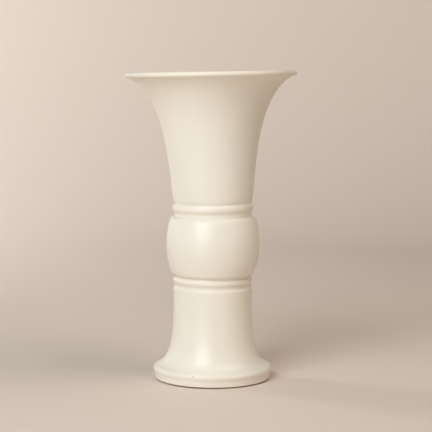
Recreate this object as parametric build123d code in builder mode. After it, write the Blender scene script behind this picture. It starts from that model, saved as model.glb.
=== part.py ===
from build123d import *
import os
from math import cos, radians, sin, sqrt

# Trumpet vase of three thrown sections and a floor, stuck together with slip and glazed, in millimetres.
# It stands on z = 0 with the foot's centre at the origin. The trumpet leans a little towards -X.

# Coats and joints
GLAZE = 0.5
SLIP = 0.6
LAP_DEPTH = 7.0

# Foot: standing ring, band, rounded edge, flare and stem
FOOT_RADIUS = 70.0
FOOT_EDGE_HEIGHT = 12.3
FOOT_EDGE_ROUND = 4.5
FOOT_CREASE_ROUND = 8.0
FOOT_BAND_STEP = 1.95
FOOT_BAND_TAPER = 4.0
FOOT_BEVEL_WIDTH = 1.5
FOOT_BEVEL_HEIGHT = 1.8
FOOT_RING_WIDTH = 8.7
FLARE_HEIGHT = 78.5
FLARE_EDGE_RISE = 20.0
FLARE_EDGE_SHARE = 0.44
FLARE_STEM_SHARE = 0.8
STEM_RADIUS = 46.2
STEM_SPREAD = 0.4
STEM_LENGTH = 16.8
STEM_SHOULDER_DROP = 1.8

# Floor of the vase and the inside of the foot
RECESS_DEPTH = 7.0
BASE_THICKNESS = 8.0
LEDGE_WIDTH = 4.0
FOOT_INSIDE_IN_SHARE = 0.41
FOOT_INSIDE_RISE_SHARE = 0.12
FOOT_INSIDE_STEM_SHARE = 0.5

# Lower groove and bead, turned on the top end of the foot
LOWER_GROOVE_DEPTH = 1.7
LOWER_GROOVE_WIDTH = 4.0
LOWER_BEAD_WIDTH = 7.0
LOWER_BEAD_PROUD = 2.1
LOWER_COLLAR = 1.2
LOWER_JOINT_WALL = 8.1

# Bulb
HEEL_LIFT = 1.3
HEEL_RISE = 5.0
BULB_HEIGHT = 69.5
BELLY_RISE = 37.0
BELLY_RADIUS = 54.9
BELLY_CURVE = 103.8
BELLY_WALL = 6.5
BELLY_INSIDE_SHARE = 0.65
SHOULDER_DROP = 4.2

# Upper groove and bead, turned on the lower end of the trumpet
UPPER_GROOVE_RADIUS = 45.2
BULB_COLLAR = 3.4
TRUMPET_COLLAR = 2.1
UPPER_BEAD_WIDTH = 9.8
UPPER_BEAD_PROUD = 2.4
UPPER_JOINT_WALL = 8.1

# Trumpet
TRUMPET_LEAN = 1.2
NECK_GROOVE_WIDTH = 1.7
NECK_STEP = 1.1
NECK_HEEL_RISE = 1.2
NECK_TAPER = 11.0
NECK_HANDLE_SHARE = 0.156
MOUTH_LENGTH = 150.7
LIP_RADIUS = 100.2
LIP_THICKNESS = 6.0
LIP_RISE = 20.0
LIP_HANDLE_SHARE = 0.91
INSIDE_TAPER = 9.0
INSIDE_HANDLE_SHARE = 0.285

# Handle of a quarter round, as a share of its reach
ROUND_SHARE = 0.55

# Heights that the stacked sizes give, the trumpet's own measured from the upper joint
stem_foot = FOOT_EDGE_HEIGHT + FLARE_HEIGHT
stem_top = stem_foot + STEM_LENGTH + STEM_SHOULDER_DROP
lower_bead = stem_top + LOWER_GROOVE_WIDTH
lower_joint = lower_bead + LOWER_BEAD_WIDTH + LOWER_COLLAR
heel = lower_joint + HEEL_LIFT
belly = heel + BELLY_RISE
shoulder = heel + BULB_HEIGHT
upper_joint = shoulder + BULB_COLLAR
neck_foot = TRUMPET_COLLAR + UPPER_BEAD_WIDTH + NECK_GROOVE_WIDTH
neck_start = neck_foot + NECK_HEEL_RISE
lip_round = LIP_THICKNESS / 2
lip_height = neck_start + MOUTH_LENGTH - lip_round
floor_top = RECESS_DEPTH + BASE_THICKNESS
ledge = floor_top + SLIP

# Radii that they give
band_radius = FOOT_RADIUS - FOOT_BAND_STEP
ring_outer = band_radius - GLAZE - FOOT_BEVEL_WIDTH
ring_inner = ring_outer - FOOT_RING_WIDTH
base_radius = ring_inner - SLIP
floor_radius = base_radius - LEDGE_WIDTH
stem_top_radius = STEM_RADIUS + STEM_SPREAD
lower_groove = stem_top_radius - LOWER_GROOVE_DEPTH
lower_bore = lower_groove - LOWER_JOINT_WALL
upper_bore = UPPER_GROOVE_RADIUS - UPPER_JOINT_WALL
inner_belly = BELLY_RADIUS - BELLY_WALL
lower_lap = (lower_groove + lower_bore - SLIP) / 2
upper_lap = (UPPER_GROOVE_RADIUS + upper_bore - SLIP) / 2

# Profiles are drawn as radius and height, the trumpet's own along its leaning axis from the upper joint
UPRIGHT = Plane.XZ
JOINT_FACE = Plane.XY.offset(upper_joint).rotated((0, -TRUMPET_LEAN, 0))
LEANING = Plane(origin=JOINT_FACE.origin, x_dir=JOINT_FACE.x_dir, z_dir=UPRIGHT.z_dir)
LEANING_AXIS = Axis(JOINT_FACE.origin, JOINT_FACE.z_dir)


def polar(length, angle):
    """Vector of a length at an angle in degrees above the outward radius."""
    return Vector(length * cos(radians(angle)), length * sin(radians(angle)))


def quarter_round(start, end, end_direction):
    """Rounded corner that leaves start along the radius and reaches end along a direction."""
    reach = end - start
    Bezier(
        start,
        start + Vector(reach.X * ROUND_SHARE, 0),
        end - end_direction.normalized() * (reach.length * ROUND_SHARE / sqrt(2)),
        end,
    )


def bead(groove, foot, width, proud, inset):
    """Round bead standing proud of its groove, with its two ends on the groove's face."""
    curve = (width**2 / 4 + proud**2) / (2 * proud)
    centre = Vector(groove + proud - curve, foot + width / 2)
    half = sqrt((curve - inset) ** 2 - (curve - proud - inset) ** 2)
    low = Vector(groove - inset, centre.Y - half)
    high = Vector(groove - inset, centre.Y + half)
    ThreePointArc(low, centre + Vector(curve - inset, 0), high)
    return low, high


def belly_point(height, inset):
    """Point of the belly's arc at a height, moved square to the arc by an inset, and its outward direction."""
    rise = height - belly
    outward = Vector(sqrt(BELLY_CURVE**2 - rise**2), rise).normalized()
    return Vector(BELLY_RADIUS - BELLY_CURVE, belly) + outward * (BELLY_CURVE - inset), outward


def foot_outside(inset):
    """Foot from the glaze line up to the lower joint, inset from the glazed surface, with its two ends."""
    edge = FOOT_EDGE_ROUND - inset
    crease = FOOT_CREASE_ROUND + inset
    centre = Vector(FOOT_RADIUS - FOOT_EDGE_ROUND, FOOT_EDGE_HEIGHT)
    band = polar(1, 90 - FOOT_BAND_TAPER)
    band_outward = polar(1, -FOOT_BAND_TAPER)
    hollow = Vector(band_radius, FOOT_BEVEL_HEIGHT) + band_outward * FOOT_CREASE_ROUND
    across = centre - hollow
    rise = across.dot(band) - sqrt((edge + crease) ** 2 - across.dot(band_outward) ** 2)
    hollow += band * rise
    towards = (hollow - centre).normalized()
    start = Vector(band_radius - inset / band_outward.X, FOOT_BEVEL_HEIGHT)
    band_top = hollow - band_outward * crease
    crease_middle = hollow - (band_outward + towards).normalized() * crease
    under = hollow - towards * crease
    over = centre + polar(edge, 90 - FLARE_EDGE_RISE)
    stem = Vector(STEM_RADIUS - inset, stem_foot)
    top = Vector(stem_top_radius - inset, stem_foot + STEM_LENGTH)
    groove = Vector(lower_groove - inset, stem_top - inset)
    end = Vector(lower_groove - inset, lower_joint)
    Line(start, band_top)
    ThreePointArc(band_top, crease_middle, under)
    ThreePointArc(under, centre + Vector(edge, 0), over)
    Bezier(
        over,
        over + polar((FOOT_RADIUS - STEM_RADIUS) * FLARE_EDGE_SHARE, 180 - FLARE_EDGE_RISE),
        stem - Vector(0, FLARE_HEIGHT * FLARE_STEM_SHARE),
        stem,
    )
    Line(stem, top)
    quarter_round(groove, top, Vector(0, -1))
    low, high = bead(lower_groove, lower_bead, LOWER_BEAD_WIDTH, LOWER_BEAD_PROUD, inset)
    Line(groove, low)
    Line(high, end)
    return start, end


def bulb_outside(inset, foot, top):
    """Bulb from its foot at the lower joint up to a top, inset from the glazed surface, with its two ends."""
    start = Vector(lower_groove - inset, foot)
    under = Vector(lower_groove - inset, heel + inset)
    over = Vector(UPPER_GROOVE_RADIUS - inset, shoulder - inset)
    end = Vector(UPPER_GROOVE_RADIUS - inset, top)
    middle, _ = belly_point(belly, inset)
    low, low_outward = belly_point(heel + HEEL_RISE, inset)
    high, high_outward = belly_point(shoulder - SHOULDER_DROP, inset)
    Line(start, under)
    quarter_round(under, low, Vector(-low_outward.Y, low_outward.X))
    ThreePointArc(low, middle, high)
    quarter_round(over, high, Vector(high_outward.Y, -high_outward.X))
    Line(over, end)
    return start, end


def foot_inside(coat, top):
    """Inside of the foot from the ledge round the floor up to a top, a coat outside the glazed bore."""
    start = Vector(floor_radius + coat, ledge)
    throat = Vector(lower_bore + coat, stem_top)
    end = Vector(lower_bore + coat, top)
    reach = stem_top - ledge
    spread = floor_radius - lower_bore
    Bezier(
        start,
        start + Vector(-spread * FOOT_INSIDE_IN_SHARE, reach * FOOT_INSIDE_RISE_SHARE),
        throat - Vector(0, reach * FOOT_INSIDE_STEM_SHARE),
        throat,
    )
    Line(throat, end)
    return start, end


def bulb_inside(coat, top):
    """Inside of the bulb from the end of the lower lap up to a top, a coat outside the glazed bore."""
    start = Vector(lower_bore + coat, lower_joint - LAP_DEPTH)
    low = Vector(lower_bore + coat, heel)
    high = Vector(upper_bore + coat, upper_joint - LAP_DEPTH - SLIP - BULB_COLLAR)
    middle = Vector(inner_belly + coat, belly)
    end = Vector(upper_bore + coat, top)
    Line(start, low)
    for throat in (low, high):
        rise = middle.Y - throat.Y
        throat_handle = Vector(0, rise * (1 - BELLY_INSIDE_SHARE) / 2)
        Bezier(throat, throat + throat_handle, middle - Vector(0, rise * BELLY_INSIDE_SHARE), middle)
    Line(high, end)
    return start, end


def trumpet_skin(inset, foot, lap_end):
    """Trumpet's surface from a foot at the joint up the outside, over the lip and down to a lap's end."""
    start = Vector(UPPER_GROOVE_RADIUS - inset, foot)
    under = Vector(UPPER_GROOVE_RADIUS - inset, neck_foot + inset)
    neck = Vector(UPPER_GROOVE_RADIUS + NECK_STEP, neck_start) - polar(inset, -NECK_TAPER)
    neck_handle = polar(MOUTH_LENGTH * NECK_HANDLE_SHARE, 90 - NECK_TAPER)
    lip = Vector(LIP_RADIUS - lip_round, lip_height)
    lip_under = lip + polar(lip_round - inset, LIP_RISE - 90)
    lip_tip = lip + polar(lip_round - inset, LIP_RISE)
    lip_over = lip + polar(lip_round - inset, LIP_RISE + 90)
    lip_handle = polar((LIP_RADIUS - UPPER_GROOVE_RADIUS) * LIP_HANDLE_SHARE, LIP_RISE)
    bore = Vector(upper_bore + inset, TRUMPET_COLLAR)
    bore_handle = polar(lip_height * INSIDE_HANDLE_SHARE, 90 - INSIDE_TAPER)
    end = Vector(upper_bore + inset, lap_end)
    low, high = bead(UPPER_GROOVE_RADIUS, TRUMPET_COLLAR, UPPER_BEAD_WIDTH, UPPER_BEAD_PROUD, inset)
    Line(start, low)
    Line(high, under)
    quarter_round(under, neck, neck_handle)
    Bezier(neck, neck + neck_handle, lip_under - lip_handle, lip_under)
    ThreePointArc(lip_under, lip_tip, lip_over)
    Bezier(lip_over, lip_over - lip_handle, bore + bore_handle, bore)
    Line(bore, end)
    return start, end


def lap_slip(groove, bore, lap, joint):
    """Outline of the slip in a lap joint: round the seam, down the side of the lap and under its end."""
    Polyline(
        (groove - GLAZE, joint),
        (groove - GLAZE, joint + SLIP),
        (lap, joint + SLIP),
        (lap, joint - LAP_DEPTH),
        (bore + GLAZE, joint - LAP_DEPTH),
        (bore + GLAZE, joint - LAP_DEPTH - SLIP),
        (lap + SLIP, joint - LAP_DEPTH - SLIP),
        (lap + SLIP, joint),
        close=True,
    )


def save(piece, name):
    """Label a finished piece and write it to its own file."""
    piece.label = name
    export_step(piece, f"parts/{name}.step")


os.makedirs("parts", exist_ok=True)

# Foot section: ring, band, flare, stem and bead, with a rebate for the floor and a socket for the bulb
with BuildPart() as foot_section:
    with BuildSketch(UPRIGHT):
        with BuildLine():
            glaze_line, seam = foot_outside(GLAZE)
            floor_edge, socket_floor = foot_inside(GLAZE, lower_joint - LAP_DEPTH - SLIP)
            socket = lower_lap + SLIP
            Polyline(seam, (socket, seam.Y), (socket, socket_floor.Y), socket_floor)
            Polyline(floor_edge, (ring_inner, ledge), (ring_inner, 0), (ring_outer, 0), glaze_line)
        make_face()
    revolve(axis=Axis.Z)
save(foot_section.part, "foot_section")

# Floor disc, set in the rebate from below
with BuildPart() as base_disc:
    with BuildSketch(Plane.XY.offset(RECESS_DEPTH)):
        Circle(base_radius)
    extrude(amount=BASE_THICKNESS)
save(base_disc.part, "base_disc")

# Slip round the floor disc and under the ledge
with BuildPart() as base_slip_joint:
    with BuildSketch(UPRIGHT):
        with BuildLine():
            Polyline(
                (base_radius, RECESS_DEPTH),
                (ring_inner, RECESS_DEPTH),
                (ring_inner, ledge),
                (floor_radius + GLAZE, ledge),
                (floor_radius + GLAZE, floor_top),
                (base_radius, floor_top),
                close=True,
            )
        make_face()
    revolve(axis=Axis.Z)
save(base_slip_joint.part, "base_slip_joint")

# Bulb section: a lap below, and a joint face and socket above that are square to the trumpet's lean
with BuildPart() as bulb_section:
    with BuildSketch(UPRIGHT):
        with BuildLine():
            seam, top_outside = bulb_outside(GLAZE, lower_joint + SLIP, upper_joint + LAP_DEPTH)
            lap_end, top_inside = bulb_inside(GLAZE, upper_joint + LAP_DEPTH)
            Polyline(seam, (lower_lap, seam.Y), (lower_lap, lap_end.Y), lap_end)
            Line(top_outside, top_inside)
        make_face()
    revolve(axis=Axis.Z)
    split(bisect_by=JOINT_FACE, keep=Keep.BOTTOM)
    with BuildSketch(JOINT_FACE):
        Circle(upper_lap + SLIP)
    extrude(amount=-LAP_DEPTH - SLIP, mode=Mode.SUBTRACT)
save(bulb_section.part, "bulb_section")

# Slip in the lower lap joint
with BuildPart() as lower_slip_joint:
    with BuildSketch(UPRIGHT):
        with BuildLine():
            lap_slip(lower_groove, lower_bore, lower_lap, lower_joint)
        make_face()
    revolve(axis=Axis.Z)
save(lower_slip_joint.part, "lower_slip_joint")

# Trumpet section: a lap below, the bead, the neck and the flaring mouth with its rounded lip
with BuildPart() as trumpet_section:
    with BuildSketch(LEANING):
        with BuildLine():
            seam, lap_end = trumpet_skin(GLAZE, SLIP, -LAP_DEPTH)
            Polyline(seam, (upper_lap, seam.Y), (upper_lap, lap_end.Y), lap_end)
        make_face()
    revolve(axis=LEANING_AXIS)
save(trumpet_section.part, "trumpet_section")

# Slip in the upper lap joint
with BuildPart() as upper_slip_joint:
    with BuildSketch(LEANING):
        with BuildLine():
            lap_slip(UPPER_GROOVE_RADIUS, upper_bore, upper_lap, 0)
        make_face()
    revolve(axis=LEANING_AXIS)
save(upper_slip_joint.part, "upper_slip_joint")

# Glaze of the trumpet, from the joint up the outside, over the lip and down the inside past the lap
with BuildPart() as trumpet_glaze:
    with BuildSketch(LEANING):
        with BuildLine():
            outer_seam, outer_end = trumpet_skin(0, 0, -LAP_DEPTH - SLIP)
            inner_seam, inner_end = trumpet_skin(GLAZE, 0, -LAP_DEPTH - SLIP)
            Line(outer_seam, inner_seam)
            Line(outer_end, inner_end)
        make_face()
    revolve(axis=LEANING_AXIS)
save(trumpet_glaze.part, "trumpet_glaze")

# Glaze outside the bulb and foot, down to the bare standing ring
with BuildPart() as body_glaze:
    with BuildSketch(UPRIGHT):
        with BuildLine():
            outer_foot, _ = foot_outside(0)
            inner_foot, _ = foot_outside(GLAZE)
            _, outer_top = bulb_outside(0, lower_joint, upper_joint + LAP_DEPTH)
            _, inner_top = bulb_outside(GLAZE, lower_joint, upper_joint + LAP_DEPTH)
            Line(outer_foot, inner_foot)
            Line(outer_top, inner_top)
        make_face()
    revolve(axis=Axis.Z)
    split(bisect_by=JOINT_FACE, keep=Keep.BOTTOM)
save(body_glaze.part, "body_glaze")

# Glaze inside the bulb and foot and over the floor, up to the slip under the trumpet's lap
with BuildPart() as inner_glaze:
    with BuildSketch(UPRIGHT):
        with BuildLine():
            coat_foot, _ = foot_inside(0, lower_joint - LAP_DEPTH)
            wall_foot, _ = foot_inside(GLAZE, lower_joint - LAP_DEPTH)
            _, coat_top = bulb_inside(0, upper_joint)
            _, wall_top = bulb_inside(GLAZE, upper_joint)
            Line(coat_top, wall_top)
            Polyline(
                coat_foot,
                (floor_radius, floor_top + GLAZE),
                (0, floor_top + GLAZE),
                (0, floor_top),
                (floor_radius + GLAZE, floor_top),
                wall_foot,
            )
        make_face()
    revolve(axis=Axis.Z)
    split(bisect_by=JOINT_FACE.offset(-LAP_DEPTH - SLIP), keep=Keep.BOTTOM)
save(inner_glaze.part, "inner_glaze")

# Glaze on the recessed underside
with BuildPart() as base_glaze:
    with BuildSketch(Plane.XY.offset(RECESS_DEPTH)):
        Circle(ring_inner)
    extrude(amount=-GLAZE)
save(base_glaze.part, "base_glaze")
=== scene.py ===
"""Cream-glazed trumpet vase: smooth glaze coats and bare clay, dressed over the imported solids.

The vase is lathe work. Each visible skin is a profile of radius and height that is carried round the vase's axis.
Profiles are in millimetres and finished meshes in metres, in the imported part's frame. The front faces -Y.
"""

import logging
import math
from dataclasses import dataclass, field
from enum import Enum
from typing import Any, ClassVar

import bpy
import numpy as np
from mathutils import Matrix, Vector


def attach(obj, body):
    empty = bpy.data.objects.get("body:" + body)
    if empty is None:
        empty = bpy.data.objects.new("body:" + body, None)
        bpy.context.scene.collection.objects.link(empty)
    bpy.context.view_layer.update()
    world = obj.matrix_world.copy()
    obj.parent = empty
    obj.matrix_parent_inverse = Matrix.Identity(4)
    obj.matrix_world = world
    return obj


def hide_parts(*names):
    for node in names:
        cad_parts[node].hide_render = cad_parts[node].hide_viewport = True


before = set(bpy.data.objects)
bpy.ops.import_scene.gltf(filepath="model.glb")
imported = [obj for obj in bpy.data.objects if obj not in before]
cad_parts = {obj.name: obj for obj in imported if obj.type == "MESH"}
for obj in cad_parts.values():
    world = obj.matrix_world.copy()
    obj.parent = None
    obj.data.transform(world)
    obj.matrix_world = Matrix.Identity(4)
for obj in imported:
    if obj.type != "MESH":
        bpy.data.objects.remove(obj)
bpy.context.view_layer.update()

# Metres in a millimetre
MM = 0.001
# Faces round each turned piece, and the radius under which a row is one point on the axis
SEGMENTS = 256
ON_AXIS = 1e-6
# Points of a profile that are nearer than this, in millimetres, are one point
SAME_POINT = 1e-7
# Edges that turn by more than these degrees are shaded as edges
EDGE_ANGLE = 50.0
# Pooling of a surface that is neither hollow nor edge
EVEN_POOL = 0.5

log = logging.getLogger("trumpet_vase")


class Slot(Enum):
    """Material slots of the record."""

    CLAY = "fired_clay"
    SLIP = "fired_slip"
    GLAZE = "cream_glaze"


# Curves of a profile


def polar(length: float, degrees: float) -> np.ndarray:
    """Vector of a length at an angle above the outward radius."""
    return length * np.array([math.cos(math.radians(degrees)), math.sin(math.radians(degrees))])


def line(start: np.ndarray, end: np.ndarray, count: int = 40) -> np.ndarray:
    """Straight run: start (1 - t) + end t."""
    t = np.linspace(0, 1, count)[:, None]
    return np.asarray(start, float) * (1 - t) + np.asarray(end, float) * t


def bezier(a: np.ndarray, b: np.ndarray, c: np.ndarray, d: np.ndarray, count: int = 400) -> np.ndarray:
    """Cubic curve: (1-t)^3 a + 3 (1-t)^2 t b + 3 (1-t) t^2 c + t^3 d.

    Args:
        a: Start.
        b: Handle of the start.
        c: Handle of the end.
        d: End.
        count: Number of points.

    Returns:
        Points from the start to the end.
    """
    t = np.linspace(0, 1, count)[:, None]
    s = 1 - t
    return s**3 * a + 3 * s**2 * t * b + 3 * s * t**2 * c + t**3 * d


def arc(centre: np.ndarray, radius: float, first: float, last: float, count: int = 200) -> np.ndarray:
    """Circular arc: centre + radius (cos a, sin a), with a going from first to last in degrees."""
    a = np.radians(np.linspace(first, last, count))[:, None]
    return np.asarray(centre, float) + radius * np.hstack([np.cos(a), np.sin(a)])


def quarter_round(start: np.ndarray, end: np.ndarray, end_direction: np.ndarray) -> np.ndarray:
    """Rounded corner: a cubic that leaves start along the radius and reaches end along a direction.

    Args:
        start: Corner end that lies in the groove.
        end: Corner end that lies on the full form.
        end_direction: Direction of travel at the end.

    Returns:
        Points from start to end.
    """
    share = 0.55
    reach = end - start
    handle = end_direction / np.linalg.norm(end_direction) * np.linalg.norm(reach) * share / math.sqrt(2)
    return bezier(start, start + np.array([reach[0] * share, 0]), end - handle, end, 120)


def bead(groove: float, foot: float, width: float, proud: float, inset: float) -> np.ndarray:
    """Round bead: the arc through its two ends on the groove's face and its crest, moved in by an inset.

    Args:
        groove: Radius of the groove's face.
        foot: Height of the bead's lower end.
        width: Height from end to end.
        proud: How far the crest stands off the groove's face.
        inset: How far the arc is moved towards the clay.

    Returns:
        Points from the lower end to the upper end.
    """
    curve = (width**2 / 4 + proud**2) / (2 * proud)
    centre = np.array([groove + proud - curve, foot + width / 2])
    half = math.degrees(math.acos((curve - proud - inset) / (curve - inset)))
    return arc(centre, curve - inset, -half, half)


def chain(*runs: np.ndarray) -> np.ndarray:
    """Join runs end to end and drop each repeated point.

    Args:
        runs: Points of each run, in order.

    Returns:
        Points of the whole profile.
    """
    points = np.concatenate(runs)
    step = np.linalg.norm(np.diff(points, axis=0), axis=1)
    return points[np.concatenate([[True], step > SAME_POINT])]


def lengths(points: np.ndarray) -> np.ndarray:
    """Length along a profile at each of its points."""
    return np.concatenate([[0], np.cumsum(np.linalg.norm(np.diff(points, axis=0), axis=1))])


def even(points: np.ndarray, step: float) -> np.ndarray:
    """Move a profile's points to equal steps along its length.

    Args:
        points: Points of the profile.
        step: Length of a step.

    Returns:
        The evenly spaced points.
    """
    along = lengths(points)
    at = np.linspace(0, along[-1], int(along[-1] / step) + 1)
    return np.stack([np.interp(at, along, points[:, k]) for k in (0, 1)], axis=1)


def blur(values: np.ndarray, sigma: float) -> np.ndarray:
    """Running mean with bell-shaped weights, carried on past each end as its point image so that the ends stay.

    Args:
        values: One row of numbers per evenly spaced point.
        sigma: Width of the bell, in points.

    Returns:
        The smoothed values.
    """
    reach = min(int(3 * sigma) + 1, len(values) - 1)
    weights = np.exp(-0.5 * (np.arange(-reach, reach + 1) / sigma) ** 2)
    weights /= weights.sum()
    before = 2 * values[0] - values[reach:0:-1]
    after = 2 * values[-1] - values[-2 : -reach - 2 : -1]
    padded = np.concatenate([before, values, after])
    return np.stack([np.convolve(padded[:, k], weights, "valid") for k in range(values.shape[1])], axis=1)


def outward(points: np.ndarray) -> np.ndarray:
    """Unit normals: the direction of travel (r, h) turned to its right, (h, -r), which points away from the clay.

    Args:
        points: Points of a profile.

    Returns:
        One normal per point.
    """
    along = np.gradient(points, axis=0)
    normal = np.stack([along[:, 1], -along[:, 0]], axis=1)
    return normal / np.linalg.norm(normal, axis=1)[:, None]


def hollowness(points: np.ndarray, step: float) -> np.ndarray:
    """Curvature: how fast the normal turns along the profile, positive where it is hollow and glaze would pool.

    Args:
        points: Evenly spaced points of a profile.
        step: Their spacing.

    Returns:
        Curvature per millimetre at each point.
    """
    normal = outward(points)
    bend = np.gradient(normal, step, axis=0)
    along = np.gradient(points, step, axis=0)
    return -(bend * along).sum(axis=1)


@dataclass(frozen=True)
class Coat:
    """Profile of a glazed surface, softened as melted glaze softens clay, with pooling that also sets painted shade.
    """

    points: np.ndarray
    pool: np.ndarray

    # Spacing of the fine profile, and the height over which one softening gives way to another
    STEP: ClassVar[float] = 0.1
    BLEND: ClassVar[float] = 8.0
    # Deepest that softening may sink the glaze, so that it still covers the clay's edges, and the finish of that limit
    COVER: ClassVar[float] = 0.22
    EASE: ClassVar[float] = 0.3
    # Widths over which curvature is averaged for pooling and for the rows, and how much closer rows stand in bends
    POOL_WIDTH: ClassVar[float] = 0.6
    BEND_WIDTH: ClassVar[float] = 0.8
    CROWD: ClassVar[float] = 14.0
    # Pooling that a curvature of one per millimetre adds
    POOL_GAIN: ClassVar[float] = 0.9

    @classmethod
    def over(cls, profile: np.ndarray, soft: float, rows: int, crisp: tuple[float, float] | None = None) -> "Coat":
        """Soften a profile and choose its rows, closer together where it bends.

        The softened profile is a running mean of the sharp one. Where that would sink it below the cover, it is moved
        back out along its normal. Rows are spaced evenly in the running sum of 1 + crowd times the root of the bend.

        Args:
            profile: Points with the clay on the left of the direction of travel.
            soft: Width of the softening, in millimetres.
            rows: Number of rows that are kept.
            crisp: Height from which the softening is another width, and that width, if it changes.

        Returns:
            The coat.
        """
        step = cls.STEP
        sharp = even(profile, step)
        fine = blur(sharp, soft / step)
        if crisp:
            t = np.clip((sharp[:, 1:] - crisp[0]) / cls.BLEND, 0, 1)
            fine += (blur(sharp, crisp[1] / step) - fine) * t * t * (3 - 2 * t)
        normal = outward(fine)
        sunk = -((fine - sharp) * normal).sum(axis=1)
        fine = blur(fine + normal * np.clip(sunk - cls.COVER, 0, None)[:, None], cls.EASE / step)
        bend = hollowness(fine, step)
        pooled_and_shade = blur(bend[:, None], cls.POOL_WIDTH / step)[:, 0]
        density = 1 + cls.CROWD * np.sqrt(np.abs(blur(np.abs(bend)[:, None], cls.BEND_WIDTH / step)[:, 0]))
        reached = np.concatenate([[0], np.cumsum((density[1:] + density[:-1]) / 2)])
        at = np.interp(np.linspace(0, reached[-1], rows), reached, np.arange(len(fine)))
        index = np.arange(len(fine))
        points = np.stack([np.interp(at, index, fine[:, k]) for k in (0, 1)], axis=1)
        return cls(points, np.clip(EVEN_POOL + cls.POOL_GAIN * np.interp(at, index, pooled_and_shade), 0, 1))


# The axis that profiles are turned round


@dataclass(frozen=True)
class Spine:
    """Axis of the vase: upright up to the upper joint, then leaning towards -X."""

    joint: float = 195.8
    lean: float = 1.2
    ease: float = 3.4
    bottom: float = -10.0
    top: float = 380.0
    stations: int = 4000

    def carry(self, radius: np.ndarray, height: np.ndarray, angle: np.ndarray) -> np.ndarray:
        """Place points: axis(h) + r (cos a u(h) + sin a Y), where u is square to the axis.

        The axis turns from upright to its full lean by a smooth step over the ease on each side of the joint.

        Args:
            radius: Radius of each point.
            height: Height of each point, measured along the axis.
            angle: Angle of each point round the axis, in radians.

        Returns:
            Points in millimetres, with one more dimension than the arguments.
        """
        grid = np.linspace(self.bottom, self.top, self.stations)
        t = np.clip((grid - self.joint + self.ease) / (2 * self.ease), 0, 1)
        turn = math.radians(self.lean) * t * t * (3 - 2 * t)
        step = grid[1] - grid[0]
        across = -np.cumsum(np.sin(turn)) * step
        rise = grid[0] + np.cumsum(np.cos(turn)) * step - step
        tilt = np.interp(height, grid, turn)
        x = np.interp(height, grid, across) + radius * np.cos(angle) * np.cos(tilt)
        z = np.interp(height, grid, rise) + radius * np.cos(angle) * np.sin(tilt)
        return np.stack([x, radius * np.sin(angle), z], axis=-1)


@dataclass(frozen=True)
class Hand:
    """Slight unevenness of a hand-thrown and dipped pot, which only ever sinks the surface.

    The first three sizes are depths. Twists and drifts are the height in which a wave moves on by one radian.
    """

    oval: float = 0.10
    ripple: float = 0.05
    swirl: float = 0.04
    oval_twist: float = 70.0
    oval_start: float = 0.6
    ripple_pitch: float = 13.0
    ripple_waver: float = 0.7
    ripple_drift: float = 23.0
    swirl_count: int = 5
    swirl_twist: float = 31.0
    swirl_waver: float = 1.1
    swirl_drift: float = 47.0

    def sink(self, angle: np.ndarray, height: np.ndarray) -> np.ndarray:
        """Depth at each point: the sum of three waves, each a depth times half of 1 + cos, so never negative.

        An oval of two lobes that turns slowly with height, throwing ripples one pitch apart that climb as a spiral,
        and broad swirling runs of glaze down the side.

        Args:
            angle: Angle round the axis, in radians.
            height: Height along the axis, in millimetres.

        Returns:
            Depth in millimetres.
        """
        climb = height * 2 * math.pi / self.ripple_pitch
        sway = self.swirl_waver * np.sin(2 * angle + height / self.swirl_drift)
        oval = 1 + np.cos(2 * angle + height / self.oval_twist + self.oval_start)
        ripple = 1 + np.cos(angle + climb + self.ripple_waver * np.sin(height / self.ripple_drift))
        swirl = 1 + np.cos(self.swirl_count * angle - height / self.swirl_twist + sway)
        return (self.oval * oval + self.ripple * ripple + self.swirl * swirl) / 2


def turned(
    spine: Spine, hand: Hand, rows: np.ndarray, normals: np.ndarray, depth: np.ndarray
) -> tuple[np.ndarray, np.ndarray, np.ndarray]:
    """Turn a closed loop of rows round the axis: each row becomes a ring, or one point where its radius is zero.

    Point (i, a) is row i, sunk along its normal by its share of the unevenness and carried to the angle a.

    Args:
        spine: Axis to turn round.
        hand: Unevenness of the surface.
        rows: Radius and height of each row, in order round the loop.
        normals: Direction of each row's surface.
        depth: Share of the unevenness that each row takes.

    Returns:
        Points in millimetres, then the four-cornered and the three-cornered faces as rows of point numbers.
    """
    angle = np.linspace(0, 2 * math.pi, SEGMENTS, endpoint=False)[None, :]
    sink = hand.sink(angle, rows[:, 1:2]) * depth[:, None]
    radius = rows[:, :1] - normals[:, :1] * sink
    height = rows[:, 1:2] - normals[:, 1:2] * sink
    grid = spine.carry(radius, height, angle)
    pole = rows[:, 0] < ON_AXIS
    size = np.where(pole, 1, SEGMENTS)
    first = np.concatenate([[0], np.cumsum(size)[:-1]])
    number = first[:, None] + np.where(pole[:, None], 0, np.arange(SEGMENTS)[None, :])
    keep = ~pole[:, None] | (np.arange(SEGMENTS)[None, :] == 0)
    points = grid[keep]
    above = np.roll(number, -1, axis=0)
    quads = np.stack([number, np.roll(number, -1, axis=1), np.roll(above, -1, axis=1), above], axis=-1)
    pole_above = np.roll(pole, -1)
    whole = quads[~pole & ~pole_above].reshape(-1, 4)
    to_pole = quads[~pole & pole_above].reshape(-1, 4)[:, :3]
    from_pole = quads[pole & ~pole_above].reshape(-1, 4)[:, [0, 2, 3]]
    return points, whole, np.concatenate([to_pole, from_pole])


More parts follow.
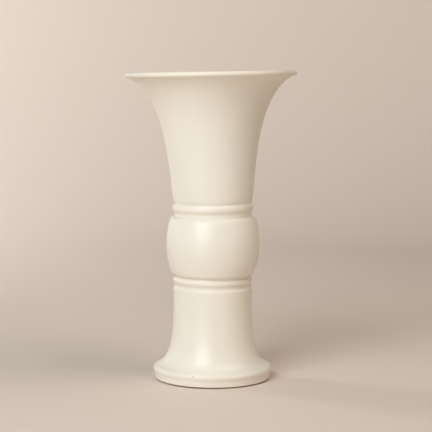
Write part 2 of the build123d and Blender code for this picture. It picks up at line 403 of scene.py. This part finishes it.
def make_piece(
    name: str, points: np.ndarray, quads: np.ndarray, triangles: np.ndarray, pool: np.ndarray
) -> bpy.types.Object:
    """Put a closed turned shape into a mesh, with its faces outwards and its pooling as an attribute.

    The faces point outwards when the sum of a . (b x c) over their triangles, six times the volume, is positive.

    Args:
        name: Name of the piece.
        points: Points in millimetres.
        quads: Four-cornered faces as rows of point numbers.
        triangles: Three-cornered faces as rows of point numbers.
        pool: Pooling of the glaze at each point, from 0 on an edge to 1 in a hollow.

    Returns:
        The object, at the origin.
    """
    corners = np.concatenate([quads[:, :3], triangles, quads[:, [0, 2, 3]]])
    a, b, c = (points[corners[:, k]] for k in range(3))
    if (a * np.cross(b, c)).sum() < 0:
        quads, triangles = quads[:, ::-1], triangles[:, ::-1]
    mesh = bpy.data.meshes.new(name)
    mesh.from_pydata((points * MM).tolist(), [], quads.tolist() + triangles.tolist())
    mesh.attributes.new("pool", "FLOAT", "POINT").data.foreach_set("value", pool.astype(np.float32))
    mesh.shade_smooth()
    mesh.set_sharp_from_angle(angle=math.radians(EDGE_ANGLE))
    mesh.update()
    piece = bpy.data.objects.new(name, mesh)
    bpy.context.scene.collection.objects.link(piece)
    return piece


# Finishes


def linear(code: str) -> tuple[float, float, float, float]:
    """Linear colour of an sRGB hex value."""
    parts = [int(code[k : k + 2], 16) / 255 for k in (1, 3, 5)]
    return tuple(p / 12.92 if p <= 0.04045 else ((p + 0.055) / 1.055) ** 2.4 for p in parts) + (1.0,)


def add(
    tree: bpy.types.NodeTree, kind: str, inputs: dict[Any, Any] | None = None, **settings: Any
) -> bpy.types.Node:
    """Add a node to a material, with its settings and links.

    Args:
        tree: Node tree of the material.
        kind: Type name of the node.
        inputs: Value or linked output for each input, by its name or number.
        settings: Properties of the node.

    Returns:
        The node.
    """
    node = tree.nodes.new(kind)
    for key, value in settings.items():
        setattr(node, key, value)
    for key, value in (inputs or {}).items():
        if isinstance(value, bpy.types.NodeSocket):
            tree.links.new(value, node.inputs[key])
        else:
            node.inputs[key].default_value = value
    return node


def start_material(name: str) -> tuple[bpy.types.Material, bpy.types.NodeTree, bpy.types.Node]:
    """Start a material with an empty tree.

    Args:
        name: Name of the material.

    Returns:
        The material, its tree and the tree's output node.
    """
    material = bpy.data.materials.new(name)
    material.use_nodes = True
    material.node_tree.nodes.clear()
    return material, material.node_tree, add(material.node_tree, "ShaderNodeOutputMaterial")


# Opaque tin glaze gives the eye a milky white with a broad soft highlight. The glaze is thick in grooves and hollows,
# which are given a deeper tone: partly the glaze's real pooling and partly painted shade. It is drawn thin over the
# lip and the beads, where warm clay comes through and the gloss is drier.
@dataclass(frozen=True)
class CreamGlaze:
    """Cream tin glaze, dipped and fired glossy: opaque and glassy, deeper in hollows from pooling and painted shade.

    Sizes are in millimetres. A range is the value where an effect starts and the value where it is full.
    """

    cream: str = "#F0EADD"
    warm: str = "#EEE7D8"
    # Tone of grooves and hollows: partly glaze that pools there, partly painted shade
    pooled_and_shade: str = "#E8DFCC"
    thin: str = "#EEE4D2"
    speck: str = "#8A6A48"
    ior: float = 1.52
    roughness: float = 0.30
    roughness_spread: tuple[float, float] = (0.02, 0.03)
    dry: float = 0.30
    # Clouds of tone left by dipping, and the ripple of the melted surface
    mottle: float = 42.0
    peel: float = 3.0
    peel_depth: float = 0.05
    peel_strength: float = 0.12
    # Levels of the ripple's noise between which the gloss changes
    peel_range: tuple[float, float] = (0.3, 0.7)
    # Pooling that counts as a groove, and as an edge
    groove_range: tuple[float, float] = (0.55, 1.0)
    edge_range: tuple[float, float] = (0.42, 0.1)
    # Brown pinhole in the front of the foot's edge: its place, and the distances from it that bound the stain
    speck_at: tuple[float, float, float] = (-22.0, -66.3, 13.9)
    speck_range: tuple[float, float] = (1.1, 0.3)

    def material(self) -> bpy.types.Material:
        """Build the glaze's nodes.

        Returns:
            The material.
        """
        material, tree, output = start_material("cream_glaze")
        place = add(tree, "ShaderNodeTexCoord").outputs["Object"]
        pool = add(tree, "ShaderNodeAttribute", attribute_name="pool").outputs["Fac"]
        mottle = add(tree, "ShaderNodeTexNoise", {"Vector": place, "Scale": 1 / (self.mottle * MM), "Detail": 3.0})
        peel = add(tree, "ShaderNodeTexNoise", {"Vector": place, "Scale": 1 / (self.peel * MM), "Detail": 2.0})
        tone = add(
            tree,
            "ShaderNodeMix",
            {0: mottle.outputs["Fac"], 6: linear(self.cream), 7: linear(self.warm)},
            data_type="RGBA",
        )
        # Painted shade: grooves and hollows are mixed towards the deeper tone, which is also real glaze pooling
        groove_shade = add(tree, "ShaderNodeMapRange", {0: pool, 1: self.groove_range[0], 2: self.groove_range[1]})
        toned = add(
            tree,
            "ShaderNodeMix",
            {0: groove_shade.outputs[0], 6: tone.outputs[2], 7: linear(self.pooled_and_shade)},
            data_type="RGBA",
        )
        edge = add(tree, "ShaderNodeMapRange", {0: pool, 1: self.edge_range[0], 2: self.edge_range[1]})
        edged = add(
            tree,
            "ShaderNodeMix",
            {0: edge.outputs[0], 6: toned.outputs[2], 7: linear(self.thin)},
            data_type="RGBA",
        )
        away = add(
            tree,
            "ShaderNodeVectorMath",
            {0: place, 1: tuple(v * MM for v in self.speck_at)},
            operation="DISTANCE",
        )
        faint, full = (size * MM for size in self.speck_range)
        dot = add(tree, "ShaderNodeMapRange", {0: away.outputs["Value"], 1: faint, 2: full})
        colour = add(
            tree,
            "ShaderNodeMix",
            {0: dot.outputs[0], 6: edged.outputs[2], 7: linear(self.speck)},
            data_type="RGBA",
        )
        rough = add(
            tree,
            "ShaderNodeMapRange",
            {
                0: peel.outputs["Fac"],
                1: self.peel_range[0],
                2: self.peel_range[1],
                3: self.roughness - self.roughness_spread[0],
                4: self.roughness + self.roughness_spread[1],
            },
        )
        drier = add(
            tree,
            "ShaderNodeMath",
            {0: edge.outputs[0], 1: self.dry, 2: rough.outputs[0]},
            operation="MULTIPLY_ADD",
        )
        bump = add(
            tree,
            "ShaderNodeBump",
            {"Height": peel.outputs["Fac"], "Strength": self.peel_strength, "Distance": self.peel_depth * MM},
        )
        shader = add(
            tree,
            "ShaderNodeBsdfPrincipled",
            {
                "Base Color": colour.outputs[2],
                "Roughness": drier.outputs[0],
                "IOR": self.ior,
                "Normal": bump.outputs["Normal"],
            },
        )
        tree.links.new(shader.outputs["BSDF"], output.inputs["Surface"])
        return material


# Bare fired clay gives the eye a dry, sandy tan with no highlight, flecked with darker grains of grog and clouded
# where the fire and standing have toned it. Slip is the same clay, finer and paler.
@dataclass(frozen=True)
class BareClay:
    """Fired clay left bare: matt and open, with fine grog in it and a rub of dirt from standing.

    Sizes are in millimetres. A range is the value where an effect starts and the value where it is full.
    """

    name: str
    clay: str
    grog: str
    roughness: float = 0.85
    grain: float = 0.8
    grain_depth: float = 0.15
    grain_strength: float = 0.5
    cloud: float = 20.0
    fleck_range: tuple[float, float] = (0.55, 0.75)
    fleck_share: float = 0.6

    def material(self) -> bpy.types.Material:
        """Build the clay's nodes.

        Returns:
            The material.
        """
        material, tree, output = start_material(self.name)
        place = add(tree, "ShaderNodeTexCoord").outputs["Object"]
        grain = add(tree, "ShaderNodeTexNoise", {"Vector": place, "Scale": 1 / (self.grain * MM), "Detail": 4.0})
        cloud = add(tree, "ShaderNodeTexNoise", {"Vector": place, "Scale": 1 / (self.cloud * MM), "Detail": 3.0})
        tone = add(
            tree,
            "ShaderNodeMix",
            {0: cloud.outputs["Fac"], 6: linear(self.clay), 7: linear(self.grog)},
            data_type="RGBA",
        )
        fleck = add(
            tree,
            "ShaderNodeMapRange",
            {0: grain.outputs["Fac"], 1: self.fleck_range[0], 2: self.fleck_range[1], 4: self.fleck_share},
        )
        colour = add(
            tree,
            "ShaderNodeMix",
            {0: fleck.outputs[0], 6: tone.outputs[2], 7: linear(self.grog)},
            data_type="RGBA",
        )
        bump = add(
            tree,
            "ShaderNodeBump",
            {"Height": grain.outputs["Fac"], "Strength": self.grain_strength, "Distance": self.grain_depth * MM},
        )
        shader = add(
            tree,
            "ShaderNodeBsdfPrincipled",
            {"Base Color": colour.outputs[2], "Roughness": self.roughness, "Normal": bump.outputs["Normal"]},
        )
        tree.links.new(shader.outputs["BSDF"], output.inputs["Surface"])
        return material


# Uncoated paper gives the eye an even pale ground that takes soft shadows and has next to no shine.
@dataclass(frozen=True)
class StudioPaper:
    """Plain pale paper under and behind the vase."""

    paper: str = "#E3D5C8"
    roughness: float = 0.9
    shine: float = 0.2

    def material(self) -> bpy.types.Material:
        """Build the paper's shader.

        Returns:
            The material.
        """
        material, tree, output = start_material("studio_paper")
        shader = add(
            tree,
            "ShaderNodeBsdfPrincipled",
            {"Base Color": linear(self.paper), "Roughness": self.roughness, "Specular IOR Level": self.shine},
        )
        tree.links.new(shader.outputs["BSDF"], output.inputs["Surface"])
        return material


@dataclass
class Workshop:
    """What every sub-assembly is made with: the axis, the hand and the finishes."""

    spine: Spine = field(default_factory=Spine)
    hand: Hand = field(default_factory=Hand)
    glaze_depth: float = 0.45
    materials: dict[Slot, bpy.types.Material] = field(default_factory=dict)

    def mix_finishes(self) -> None:
        """Make the three finishes once."""
        self.materials[Slot.GLAZE] = CreamGlaze().material()
        self.materials[Slot.CLAY] = BareClay("fired_stoneware", "#A88B68", "#86694A").material()
        self.materials[Slot.SLIP] = BareClay("fired_slip", "#D6C4A9", "#B9A284").material()

    def coat(self, name: str, coat: Coat) -> bpy.types.Object:
        """Turn a coat of glaze: its face, and a back that lies the glaze's depth under the face.

        Args:
            name: Name of the piece.
            coat: Profile of the face. It may end on the axis.

        Returns:
            The piece.
        """
        face = coat.points
        normals = outward(face)
        back = face - normals * self.glaze_depth
        back[face[:, 0] < ON_AXIS, 0] = 0
        rows = np.concatenate([face, back[::-1]])
        centred = rows[:, 0] < ON_AXIS
        depth = np.concatenate([np.ones(len(face)), np.zeros(len(face))])
        depth[centred] = 0
        skin = turned(self.spine, self.hand, rows, np.concatenate([normals, normals[::-1]]), depth)
        rings = np.where(centred, 1, SEGMENTS)
        pool = np.repeat(np.concatenate([coat.pool, np.full(len(face), EVEN_POOL)]), rings)
        return make_piece(name, *skin, pool)

    def solid(self, name: str, outline: np.ndarray) -> bpy.types.Object:
        """Turn a closed outline of clay, with no unevenness.

        Args:
            name: Name of the piece.
            outline: Points round the outline.

        Returns:
            The piece.
        """
        none = np.zeros(len(outline))
        skin = turned(self.spine, self.hand, outline, np.zeros_like(outline), none)
        return make_piece(name, *skin, np.full(len(skin[0]), EVEN_POOL))

    def dress(self, piece: bpy.types.Object, slot: Slot, *nodes: str) -> None:
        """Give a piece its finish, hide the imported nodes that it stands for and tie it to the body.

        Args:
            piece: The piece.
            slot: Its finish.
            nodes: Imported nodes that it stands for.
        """
        piece.data.materials.append(self.materials[slot])
        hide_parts(*nodes)
        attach(piece, "root")
        log.info("%s: %d faces for %s", piece.name, len(piece.data.polygons), ", ".join(nodes))


# Sub-assemblies of the vase


@dataclass
class Trumpet:
    """Neck and flaring mouth, with the upper bead at its foot. Heights are measured from the upper joint."""

    shop: Workshop
    groove: float = 45.2
    collar: float = 2.1
    bead_width: float = 9.8
    bead_proud: float = 2.4
    neck_groove: float = 1.7
    neck_step: float = 1.1
    heel_rise: float = 1.2
    taper: float = 11.0
    neck_share: float = 0.156
    length: float = 150.7
    lip_radius: float = 100.2
    lip_thickness: float = 6.0
    lip_rise: float = 20.0
    lip_share: float = 0.91
    bore: float = 37.1
    inside_taper: float = 9.0
    inside_share: float = 0.285
    lap: float = 7.6
    rows: int = 190
    soft: float = 1.0
    mouth_soft: float = 0.4
    mouth_from: float = 22.0

    def surface(self) -> np.ndarray:
        """Glazed surface: collar, bead, groove, neck, the cubic flare, the round lip and the cubic inside.

        Returns:
            Points from the joint up the outside, over the lip and down the inside to the lap's end.
        """
        foot = self.collar + self.bead_width + self.neck_groove
        start = foot + self.heel_rise
        round_lip = self.lip_thickness / 2
        under = np.array([self.groove, foot])
        neck = np.array([self.groove + self.neck_step, start])
        neck_handle = polar(self.length * self.neck_share, 90 - self.taper)
        lip = np.array([self.lip_radius - round_lip, start + self.length - round_lip])
        lip_under = lip + polar(round_lip, self.lip_rise - 90)
        lip_over = lip + polar(round_lip, self.lip_rise + 90)
        lip_handle = polar((self.lip_radius - self.groove) * self.lip_share, self.lip_rise)
        bore = np.array([self.bore, self.collar])
        bore_handle = polar(lip[1] * self.inside_share, 90 - self.inside_taper)
        ring = bead(self.groove, self.collar, self.bead_width, self.bead_proud, 0)
        points = chain(
            line((self.groove, 0), ring[0]),
            ring,
            line(ring[-1], under),
            quarter_round(under, neck, neck_handle),
            bezier(neck, neck + neck_handle, lip_under - lip_handle, lip_under),
            arc(lip, round_lip, self.lip_rise - 90, self.lip_rise + 90),
            bezier(lip_over, lip_over - lip_handle, bore + bore_handle, bore),
            line(bore, (self.bore, -self.lap)),
        )
        return points + np.array([0, self.shop.spine.joint])

    def build(self) -> None:
        """Glaze coat of the trumpet, outside and inside."""
        crisp = (self.shop.spine.joint + self.mouth_from, self.mouth_soft)
        piece = self.shop.coat("trumpet_glaze_coat", Coat.over(self.surface(), self.soft, self.rows, crisp))
        self.shop.dress(piece, Slot.GLAZE, "trumpet_glaze")


@dataclass
class Body:
    """Bulb and foot: their outside, their inside with the floor, the bare clay of the foot and the underside."""

    shop: Workshop
    glaze: float = 0.5
    slip: float = 0.6
    lap: float = 7.0
    foot_radius: float = 70.0
    edge_height: float = 12.3
    edge_round: float = 4.5
    crease_round: float = 8.0
    band_step: float = 1.95
    band_taper: float = 4.0
    bevel_width: float = 1.5
    bevel_height: float = 1.8
    ring_width: float = 8.7
    flare_height: float = 78.5
    flare_rise: float = 20.0
    flare_edge_share: float = 0.44
    flare_stem_share: float = 0.8
    stem_radius: float = 46.2
    stem_spread: float = 0.4
    stem_length: float = 16.8
    stem_drop: float = 1.8
    recess: float = 7.0
    floor: float = 15.0
    ledge: float = 4.0
    inside_in_share: float = 0.41
    inside_rise_share: float = 0.12
    inside_stem_share: float = 0.5
    groove_depth: float = 1.7
    groove_width: float = 4.0
    bead_width: float = 7.0
    bead_proud: float = 2.1
    collar: float = 1.2
    joint_wall: float = 8.1
    heel_lift: float = 1.3
    heel_rise: float = 5.0
    bulb_height: float = 69.5
    belly_rise: float = 37.0
    belly_radius: float = 54.9
    belly_curve: float = 103.8
    belly_wall: float = 6.5
    belly_inside_share: float = 0.65
    shoulder_drop: float = 4.2
    upper_groove: float = 45.2
    upper_bore: float = 37.1
    upper_collar: float = 3.4
    base_round: float = 1.6
    ring_round: float = 0.7
    outside_rows: int = 190
    outside_soft: float = 1.0
    inside_rows: int = 150
    inside_soft: float = 1.2
    base_rows: int = 60
    base_soft: float = 0.3
    clay_step: float = 0.9
    clay_inside_step: float = 2.0
    hidden_points: int = 3
    ring_points: int = 4
    corner_points: int = 8

    def __post_init__(self) -> None:
        """Work out the heights and radii that the stacked sizes give."""
        self.band = self.foot_radius - self.band_step
        self.ring_outer = self.band - self.glaze - self.bevel_width
        self.ring_inner = self.ring_outer - self.ring_width
        self.floor_radius = self.ring_inner - self.slip - self.ledge
        self.stem_top_radius = self.stem_radius + self.stem_spread
        self.groove = self.stem_top_radius - self.groove_depth
        self.bore = self.groove - self.joint_wall
        self.stem_foot = self.edge_height + self.flare_height
        self.stem_top = self.stem_foot + self.stem_length + self.stem_drop
        self.bead_foot = self.stem_top + self.groove_width
        self.joint = self.bead_foot + self.bead_width + self.collar
        self.heel = self.joint + self.heel_lift
        self.belly = self.heel + self.belly_rise
        self.shoulder = self.heel + self.bulb_height
        self.upper_joint = self.shoulder + self.upper_collar

    def belly_angle(self, height: float) -> float:
        """Angle of the belly's arc at a height, in degrees."""
        return math.degrees(math.asin((height - self.belly) / self.belly_curve))

    def foot_outside(self, inset: float) -> np.ndarray:
        """Foot, moved in from the glazed surface: band, crease, round edge, cubic flare, stem, groove, bead, collar.

        The band is a straight line that leans out by its taper. The crease is a hollow arc that touches both the band
        and the edge's arc, so its centre lies its radius off the band and both radii from the edge's centre.

        Args:
            inset: How far the surface is moved towards the clay.

        Returns:
            Points from the glaze line up to the lower joint.
        """
        edge = self.edge_round - inset
        crease = self.crease_round + inset
        centre = np.array([self.foot_radius - self.edge_round, self.edge_height])
        along, off = polar(1, 90 - self.band_taper), polar(1, -self.band_taper)
        hollow = np.array([self.band, self.bevel_height]) + off * self.crease_round
        across = centre - hollow
        hollow += along * (across @ along - math.sqrt((edge + crease) ** 2 - (across @ off) ** 2))
        below = math.degrees(math.atan2(hollow[1] - centre[1], hollow[0] - centre[0]))
        start = np.array([self.band - inset / off[0], self.bevel_height])
        over = centre + polar(edge, 90 - self.flare_rise)
        stem = np.array([self.stem_radius - inset, self.stem_foot])
        top = np.array([self.stem_top_radius - inset, self.stem_foot + self.stem_length])
        groove = np.array([self.groove - inset, self.stem_top - inset])
        reach = (self.foot_radius - self.stem_radius) * self.flare_edge_share
        ring = bead(self.groove, self.bead_foot, self.bead_width, self.bead_proud, inset)
        return chain(
            line(start, hollow - off * crease),
            arc(hollow, crease, 180 - self.band_taper, 180 + below),
            arc(centre, edge, below, 90 - self.flare_rise),
            bezier(
                over,
                over + polar(reach, 180 - self.flare_rise),
                stem - np.array([0, self.flare_height * self.flare_stem_share]),
                stem,
            ),
            line(stem, top),
            quarter_round(groove, top, np.array([0.0, -1.0]))[::-1],
            line(groove, ring[0]),
            ring,
            line(ring[-1], (self.groove - inset, self.joint)),
        )

    def bulb_outside(self) -> np.ndarray:
        """Bulb: round heel, the belly's arc, round shoulder and collar.

        Returns:
            Points from the lower joint up to the upper joint.
        """
        centre = np.array([self.belly_radius - self.belly_curve, self.belly])
        low = self.belly_angle(self.heel + self.heel_rise)
        high = self.belly_angle(self.shoulder - self.shoulder_drop)
        under = np.array([self.groove, self.heel])
        over = np.array([self.upper_groove, self.shoulder])
        return chain(
            line((self.groove, self.joint), under),
            quarter_round(under, centre + polar(self.belly_curve, low), polar(1, low + 90)),
            arc(centre, self.belly_curve, low, high),
            quarter_round(over, centre + polar(self.belly_curve, high), polar(1, high - 90))[::-1],
            line(over, (self.upper_groove, self.upper_joint)),
        )

    def foot_inside(self, coat: float, top: float) -> np.ndarray:
        """Inside of the foot: a cubic from the ledge round the floor to the throat, then the straight bore.

        Args:
            coat: How far the surface lies outside the glazed bore.
            top: Height of the upper end.

        Returns:
            Points from the ledge up to the top.
        """
        start = np.array([self.floor_radius + coat, self.floor + self.slip])
        throat = np.array([self.bore + coat, self.stem_top])
        reach = throat[1] - start[1]
        spread = self.floor_radius - self.bore
        return chain(
            bezier(
                start,
                start + np.array([-spread * self.inside_in_share, reach * self.inside_rise_share]),
                throat - np.array([0, reach * self.inside_stem_share]),
                throat,
            ),
            line(throat, (self.bore + coat, top)),
        )

    def bulb_inside(self) -> np.ndarray:
        """Inside of the bulb: two cubics that swell to the belly, then the bore under the trumpet's lap.

        Returns:
            Points from the end of the foot's bore up to the trumpet's lap.
        """
        low = np.array([self.bore, self.heel])
        high = np.array([self.upper_bore, self.upper_joint - self.lap - self.slip - self.upper_collar])
        middle = np.array([self.belly_radius - self.belly_wall, self.belly])
        swell = []
        for throat in (low, high):
            rise = np.array([0, middle[1] - throat[1]])
            handle = rise * (1 - self.belly_inside_share) / 2
            swell.append(bezier(throat, throat + handle, middle - rise * self.belly_inside_share, middle))
        end = (self.upper_bore, self.upper_joint - self.lap - self.slip)
        return chain(line((self.bore, self.joint - self.lap), low), swell[0], swell[1][::-1], line(high, end))

    def build_outside(self) -> None:
        """Glaze coat outside the bulb and foot."""
        profile = chain(self.foot_outside(0), self.bulb_outside())
        piece = self.shop.coat("body_glaze_coat", Coat.over(profile, self.outside_soft, self.outside_rows))
        self.shop.dress(piece, Slot.GLAZE, "body_glaze")

    def build_inside(self) -> None:
        """Glaze coat inside the bulb and foot and over the floor, pooling and painted shade round the floor's edge."""
        wall = chain(self.foot_inside(0, self.joint - self.lap), self.bulb_inside())
        floor = self.floor + self.glaze
        profile = chain(wall[::-1], line((self.floor_radius, floor), (0, floor)))
        coat = Coat.over(profile, self.inside_soft, self.inside_rows)
        coat.points[-1, 0] = 0
        piece = self.shop.coat("inner_glaze_coat", coat)
        self.shop.dress(piece, Slot.GLAZE, "inner_glaze")

    def build_underside(self) -> None:
        """Glaze coat on the recessed underside, with pooling and painted shade in its edge against the ring."""
        level = self.recess - self.glaze
        turn = self.base_round
        start = self.ring_inner - turn
        profile = chain(line((0, level), (start, level)), arc((start, level - turn), turn, 90, 0))
        coat = Coat.over(profile, self.base_soft, self.base_rows)
        coat.points[0, 0] = 0
        piece = self.shop.coat("underside_glaze_coat", coat)
        self.shop.dress(piece, Slot.GLAZE, "base_glaze")

    def build_foot_clay(self) -> None:
        """Clay of the foot: its outside under the glaze, the bulb's socket, its inside and the bare standing ring."""
        socket = (self.groove + self.bore + self.slip) / 2
        socket_floor = self.joint - self.lap - self.slip
        soft = self.ring_round
        outside = even(self.foot_outside(self.glaze), self.clay_step)
        inside = even(self.foot_inside(self.glaze, socket_floor), self.clay_inside_step)[::-1]
        ledge = self.floor + self.slip
        hidden, ring, corner = self.hidden_points, self.ring_points, self.corner_points
        outline = chain(
            outside,
            line(outside[-1], (socket, self.joint), hidden),
            line((socket, self.joint), (socket, socket_floor), hidden),
            line((socket, socket_floor), inside[0], hidden),
            inside,
            line(inside[-1], (self.ring_inner, ledge), hidden),
            line((self.ring_inner, ledge), (self.ring_inner, soft), ring),
            arc((self.ring_inner + soft, soft), soft, 180, 270, corner),
            line((self.ring_inner + soft, 0), (self.ring_outer - soft, 0), ring),
            arc((self.ring_outer - soft, soft), soft, 270, 330, corner),
            line((self.ring_outer, soft), outside[0], ring),
        )
        piece = self.shop.solid("foot_clay", outline[:-1])
        self.shop.dress(piece, Slot.CLAY, "foot_section")


@dataclass
class Core:
    """Clay and slip that the coats hide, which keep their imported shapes."""

    shop: Workshop
    clay: tuple[str, ...] = ("trumpet_section", "bulb_section", "base_disc")
    slip: tuple[str, ...] = ("upper_slip_joint", "lower_slip_joint", "base_slip_joint")

    def build(self) -> None:
        """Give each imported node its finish."""
        for slot, nodes in ((Slot.CLAY, self.clay), (Slot.SLIP, self.slip)):
            for node in nodes:
                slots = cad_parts[node].data.materials
                slots.clear()
                slots.append(self.shop.materials[slot])
                log.info("%s: packed shape in %s", node, slot.value)


@dataclass(frozen=True)
class SoftBox:
    """Soft box: its width and height in metres, its power in watts and its tint."""

    name: str
    size: tuple[float, float]
    watts: float
    tint: str

    def hang(self, at: Vector, towards: Vector) -> bpy.types.Object:
        """Hang the soft box, out of the camera's sight.

        Args:
            at: Its place.
            towards: Point that it faces.

        Returns:
            The light.
        """
        data = bpy.data.lights.new(self.name, "AREA")
        data.shape = "RECTANGLE"
        data.size, data.size_y = self.size
        data.energy = self.watts
        data.color = linear(self.tint)[:3]
        lamp = bpy.data.objects.new(self.name, data)
        lamp.matrix_world = Matrix.Translation(at) @ (at - towards).to_track_quat("Z", "Y").to_matrix().to_4x4()
        lamp.visible_camera = False
        bpy.context.scene.collection.objects.link(lamp)
        return lamp


@dataclass
class Studio:
    """Pale paper cove, soft lights and the camera at the photograph's viewing angle. Sizes are in metres.

    The key and the fill face the vase's middle from the box distance, each from a turn towards +X and a rise.
    """

    floor_radius: float = 1.3
    cove: float = 0.8
    wall: float = 0.85
    floor_rows: int = 24
    floor_faces: int = 96
    middle: tuple[float, float, float] = (0.0, 0.0, 0.2)
    box_distance: float = 1.8
    key: SoftBox = SoftBox("key_soft_box", (1.0, 2.0), 32.0, "#F0F8FF")
    key_from: tuple[float, float] = (-28.0, 26.0)
    fill: SoftBox = SoftBox("fill_soft_box", (1.2, 1.2), 12.0, "#FFF5E8")
    fill_from: tuple[float, float] = (64.0, 60.0)
    wash: SoftBox = SoftBox("backdrop_wash", (0.8, 0.8), 24.0, "#F4FAFF")
    wash_at: tuple[float, float, float] = (-1.5, 0.9, 1.1)
    wash_towards: tuple[float, float, float] = (-0.5, 2.1, 0.6)
    surround: str = "#FFE9D0"
    surround_strength: float = 0.06
    lens: float = 120.0
    sensor: float = 36.0
    camera_at: tuple[float, float, float] = (0.0034, -1.6848, 0.3606)
    camera_tilt: float = 84.29
    camera_roll: float = 0.3

    def build_floor(self) -> None:
        """Round cove: a flat floor, a quarter circle up to the wall and the wall, turned round the vase."""
        count = self.floor_faces
        radius = np.linspace(0, self.floor_radius, self.floor_rows)
        bend = np.radians(np.linspace(-90, 0, self.floor_rows))[1:]
        profile = np.concatenate(
            [
                np.stack([radius, np.zeros_like(radius)], axis=1),
                np.stack([self.floor_radius + self.cove * np.cos(bend), self.cove * (1 + np.sin(bend))], axis=1),
                [[self.floor_radius + self.cove, self.wall]],
            ]
        )[1:]
        angle = np.linspace(0, 2 * math.pi, count, endpoint=False)
        rings = np.stack(
            [
                profile[:, :1] * np.cos(angle),
                profile[:, :1] * np.sin(angle),
                profile[:, 1:] * np.ones_like(angle),
            ],
            axis=-1,
        )
        number = 1 + np.arange(len(profile) * count).reshape(len(profile), count)
        quads = np.stack(
            [number[:-1], np.roll(number[:-1], -1, 1), np.roll(number[1:], -1, 1), number[1:]], axis=-1
        ).reshape(-1, 4)[:, ::-1]
        centre = np.stack([np.zeros(count, int), number[0], np.roll(number[0], -1)], axis=-1)
        mesh = bpy.data.meshes.new("paper_cove")
        mesh.from_pydata([(0, 0, 0)] + rings.reshape(-1, 3).tolist(), [], centre.tolist() + quads.tolist())
        mesh.shade_smooth()
        mesh.materials.append(StudioPaper().material())
        cove = bpy.data.objects.new("paper_cove", mesh)
        bpy.context.scene.collection.objects.link(cove)

    def build_lights(self) -> None:
        """Tall key at the front left, weaker warm fill high on the right, a wash on the backdrop and a dim surround.

        A direction is (sin turn cos rise, -cos turn cos rise, sin rise).
        """
        middle = Vector(self.middle)
        for box, (turn, rise) in ((self.key, self.key_from), (self.fill, self.fill_from)):
            a, e = math.radians(turn), math.radians(rise)
            towards = Vector((math.sin(a) * math.cos(e), -math.cos(a) * math.cos(e), math.sin(e)))
            box.hang(middle + self.box_distance * towards, middle)
        wash = self.wash.hang(Vector(self.wash_at), Vector(self.wash_towards))
        wash.visible_glossy = False
        world = bpy.data.worlds.new("studio_surround")
        world.use_nodes = True
        shade = world.node_tree.nodes["Background"]
        shade.inputs["Color"].default_value = linear(self.surround)
        shade.inputs["Strength"].default_value = self.surround_strength
        bpy.context.scene.world = world

    def build_camera(self) -> None:
        """Camera level with the rim, tilted a little down and rolled a little, at the photograph's distance."""
        data = bpy.data.cameras.new("camera")
        data.lens, data.sensor_width, data.sensor_fit = self.lens, self.sensor, "HORIZONTAL"
        camera = bpy.data.objects.new("camera", data)
        camera.matrix_world = (
            Matrix.Translation(self.camera_at)
            @ Matrix.Rotation(math.radians(self.camera_tilt), 4, "X")
            @ Matrix.Rotation(math.radians(self.camera_roll), 4, "Z")
        )
        bpy.context.scene.collection.objects.link(camera)
        bpy.context.scene.camera = camera
        bpy.context.scene.view_settings.view_transform = "Standard"


def main() -> None:
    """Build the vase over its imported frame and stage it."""
    logging.basicConfig(level=logging.INFO, format="%(message)s")
    shop = Workshop()
    shop.mix_finishes()
    Trumpet(shop).build()
    body = Body(shop)
    body.build_outside()
    body.build_inside()
    body.build_underside()
    body.build_foot_clay()
    Core(shop).build()
    studio = Studio()
    studio.build_floor()
    studio.build_lights()
    studio.build_camera()


if __name__ == "__main__":
    main()
